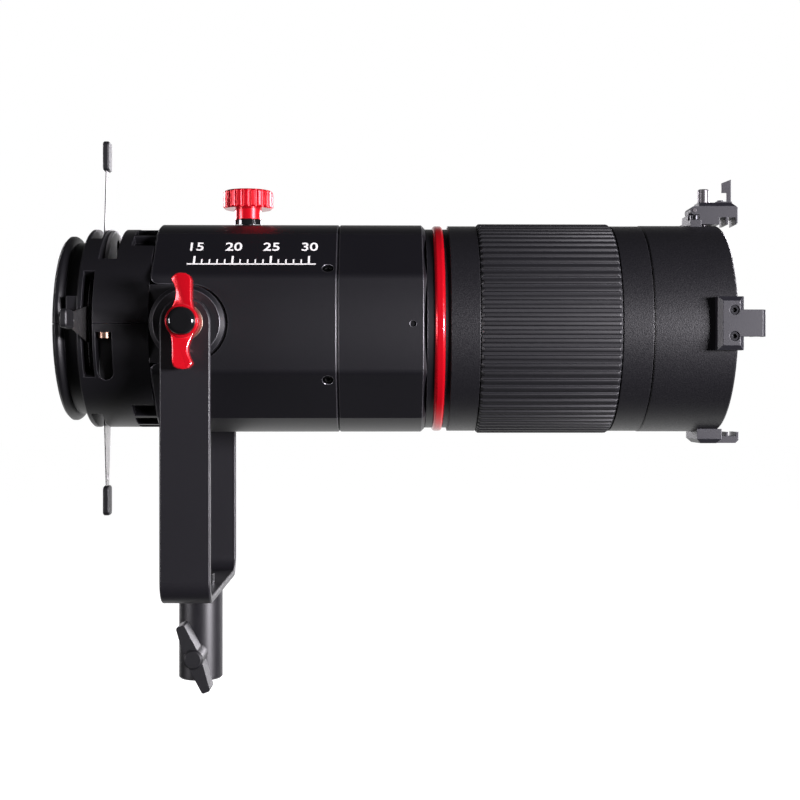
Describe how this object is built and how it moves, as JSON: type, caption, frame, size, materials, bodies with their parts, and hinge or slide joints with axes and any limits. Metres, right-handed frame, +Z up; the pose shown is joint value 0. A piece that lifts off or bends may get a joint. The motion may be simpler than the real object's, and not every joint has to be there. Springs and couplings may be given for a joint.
{
  "type": "ellipsoidal spotlight",
  "caption": "Black zoom projection spotlight optic with framing shutters, gobo slot, ribbed zoom ring, red lock knobs, accessory holders and a tilting yoke on a stand socket.",
  "frame": {"origin": "centre of the stand socket's mouth, on the socket's axis", "axes": "+Z up along the stand, +X along the optical axis out of the front lens, +Y to the far side, away from the tilt lock knob"},
  "size_m": [0.3988, 0.2236, 0.3233],
  "materials": {
    "black_shell": "satin moulded, fine grain",
    "black_metal": "satin black powder coat, slight blue tint",
    "black_anodised": "black anodised, fine bead blast",
    "red_anodised": "bright red anodised",
    "grip_rubber": "matt moulded ribs",
    "charcoal_metal": "charcoal grey satin",
    "steel": "brushed, slightly warm",
    "blade_steel": "rolled stainless sheet",
    "holder_steel": "bead blasted sheet",
    "dark_screw": "black oxide",
    "copper_screw": "copper washed",
    "washer_brass": "dull brass",
    "cap_gloss": "gloss black",
    "tip_plastic": "matt black moulded",
    "lens_glass": "coated optical glass",
    "bush_nylon": "natural nylon",
    "steel_pin": "turned and polished"
  },
  "bodies": {
    "yoke_frame": {"yoke": "black_metal", "stand_receiver": "black_metal", "yoke_bolt": "dark_screw", "pivot_washers": "washer_brass", "friction_washers": "tip_plastic"},
    "stand_lock": {"stand_lock_handle": "tip_plastic", "stand_lock_stud": "steel"},
    "optic": {"rear_housing_upper": "black_shell", "rear_housing_lower": "black_shell", "housing_screws": "copper_screw", "lamp_mount_ring": "steel", "condenser_lens": "lens_glass", "gate_plate_rear": "dark_screw", "gate_plate_middle": "dark_screw", "gate_plate_front": "dark_screw", "main_body": "black_anodised", "front_section": "black_anodised", "body_screws": "dark_screw", "grub_screws": "dark_screw", "trunnion_boss_near": "black_anodised", "trunnion_boss_far": "black_anodised", "boss_screws": "dark_screw", "lens_barrel": "black_anodised", "front_tube": "black_shell", "front_lens": "lens_glass", "front_lens_ring": "black_anodised", "accessory_bracket_near": "charcoal_metal", "accessory_bracket_far": "charcoal_metal", "accessory_bracket_bottom": "charcoal_metal", "bracket_screws": "dark_screw", "gate_base": "charcoal_metal", "gate_hinge_pin": "steel_pin", "far_pivot_bolt": "dark_screw"},
    "tilt_lock": {"tilt_lock_knob": "red_anodised", "tilt_lock_stud": "steel", "tilt_knob_cap": "cap_gloss"},
    "shutter_top": {"shutter_blade_top": "blade_steel", "shutter_tip_top": "tip_plastic"},
    "shutter_bottom": {"shutter_blade_bottom": "blade_steel", "shutter_tip_bottom": "tip_plastic"},
    "shutter_near": {"shutter_blade_near": "blade_steel", "shutter_tip_near": "tip_plastic"},
    "shutter_far": {"shutter_blade_far": "blade_steel", "shutter_tip_far": "tip_plastic"},
    "gobo": {"gobo_holder": "holder_steel"},
    "focus": {"focus_carriage": "black_anodised", "focus_lens": "lens_glass", "focus_collar": "black_anodised"},
    "focus_lock": {"focus_knob": "red_anodised"},
    "zoom_ring": {"zoom_sleeve": "black_anodised", "zoom_bushes": "bush_nylon", "zoom_neck_ring": "black_anodised", "red_ring": "red_anodised", "zoom_grip": "grip_rubber"},
    "zoom_group": {"zoom_carriage": "black_anodised", "zoom_follower_pins": "steel_pin", "zoom_lens": "lens_glass"},
    "gate": {"top_gate": "charcoal_metal", "gate_flag": "charcoal_metal"},
    "plunger": {"plunger_pin": "steel_pin"}
  },
  "joints": [
    {"name": "tilt", "type": "hinge", "parent": "yoke_frame", "child": "optic", "pos_m": [0, 0, 0.209], "axis": [0, -1, 0], "range_deg": [-55, 65]},
    {"name": "tilt_lock_turn", "type": "hinge", "parent": "optic", "child": "tilt_lock", "pos_m": [0, -0.07196, 0.209], "axis": [0, -1, 0], "range_deg": [0, 270]},
    {"name": "stand_lock_turn", "type": "hinge", "parent": "yoke_frame", "child": "stand_lock", "pos_m": [0, -0.013, 0.0171], "axis": [0, -1, 0], "range_deg": [0, 270]},
    {"name": "shutter_top_slide", "type": "slide", "parent": "optic", "child": "shutter_top", "axis": [0, 0, -1], "range_m": [0, 0.03]},
    {"name": "shutter_bottom_slide", "type": "slide", "parent": "optic", "child": "shutter_bottom", "axis": [0, 0, 1], "range_m": [0, 0.03]},
    {"name": "shutter_near_slide", "type": "slide", "parent": "optic", "child": "shutter_near", "axis": [0, 1, 0], "range_m": [0, 0.03]},
    {"name": "shutter_far_slide", "type": "slide", "parent": "optic", "child": "shutter_far", "axis": [0, -1, 0], "range_m": [0, 0.03]},
    {"name": "gobo_lift", "type": "slide", "parent": "optic", "child": "gobo", "axis": [0, 0, 1], "range_m": [0, 0.11]},
    {"name": "focus_slide", "type": "slide", "parent": "optic", "child": "focus", "axis": [1, 0, 0], "range_m": [-0.01, 0.01]},
    {"name": "focus_lock_turn", "type": "hinge", "parent": "focus", "child": "focus_lock", "pos_m": [0.0284, 0, 0.2708], "axis": [0, 0, 1], "range_deg": [0, 270]},
    {"name": "zoom_turn", "type": "hinge", "parent": "optic", "child": "zoom_ring", "pos_m": [0.1638, 0, 0.209], "axis": [1, 0, 0], "range_deg": [0, 90]},
    {"name": "zoom_slide", "type": "slide", "parent": "optic", "child": "zoom_group", "axis": [1, 0, 0], "range_m": [0, 0.04]},
    {"name": "gate_flip", "type": "hinge", "parent": "optic", "child": "gate", "pos_m": [0.2955, 0, 0.2796], "axis": [0, -1, 0], "range_deg": [0, 80]},
    {"name": "plunger_pull", "type": "slide", "parent": "gate", "child": "plunger", "axis": [0, 0, 1], "range_m": [0, 0.004], "stiffness_N_per_m": 300, "springref_m": -0.002}
  ],
  "couplings": [
    {"joint": "zoom_slide", "follows": "zoom_turn", "m_per_rad": 0.025465}
  ]
}
